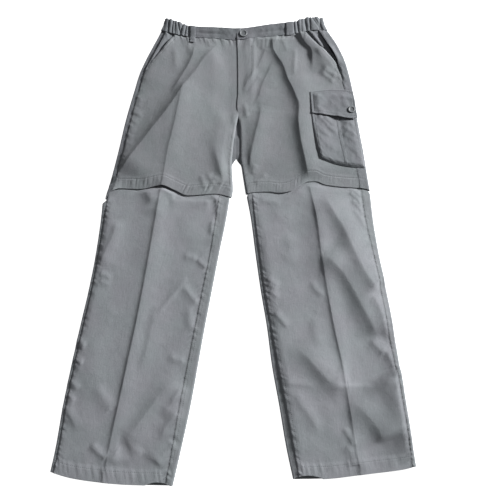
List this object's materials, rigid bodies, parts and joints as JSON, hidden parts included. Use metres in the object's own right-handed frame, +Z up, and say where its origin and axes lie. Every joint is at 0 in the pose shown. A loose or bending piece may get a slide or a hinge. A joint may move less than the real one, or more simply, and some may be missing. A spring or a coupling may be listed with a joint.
{
  "type": "convertible zip-off trousers",
  "caption": "Straight-leg trousers laid flat, with zip-off lower legs under a hem flap at the knee, a part-elasticated waistband, slanted hip pockets and a buttoned cargo pocket on the left thigh.",
  "frame": {"origin": "middle of the outline, on the surface that the trousers lie on", "axes": "+X to the wearer's left, +Y from the hems to the waist, +Z up out of the front"},
  "size_m": [0.735, 1.0714, 0.0164],
  "materials": {
    "twill": "mid-grey cotton twill, matt, lightly pressed, with tonal topstitching",
    "zip": "dark grey woven zip tape with moulded coil",
    "button": "grey moulded polyester, satin, with a raised rim and four holes"
  },
  "bodies": {
    "root": {"shorts_front_right": "twill", "shorts_front_left": "twill", "shorts_back_right": "twill", "shorts_back_left": "twill", "leg_front_right": "twill", "leg_front_left": "twill", "leg_back_right": "twill", "leg_back_left": "twill", "knee_zip_right": "zip", "knee_zip_left": "zip", "fly_zip": "zip", "waistband_front_right": "twill", "waistband_front_left": "twill", "waistband_side_right": "twill", "waistband_side_left": "twill", "waistband_back": "twill", "hip_pocket_facing_right": "twill", "hip_pocket_facing_left": "twill", "cargo_pocket": "twill", "cargo_flap": "twill", "belt_loop_front_right": "twill", "belt_loop_front_left": "twill", "belt_loop_back_right": "twill", "belt_loop_back_middle": "twill", "belt_loop_back_left": "twill", "waist_button": "button", "cargo_button": "button"}
  },
  "joints": []
}
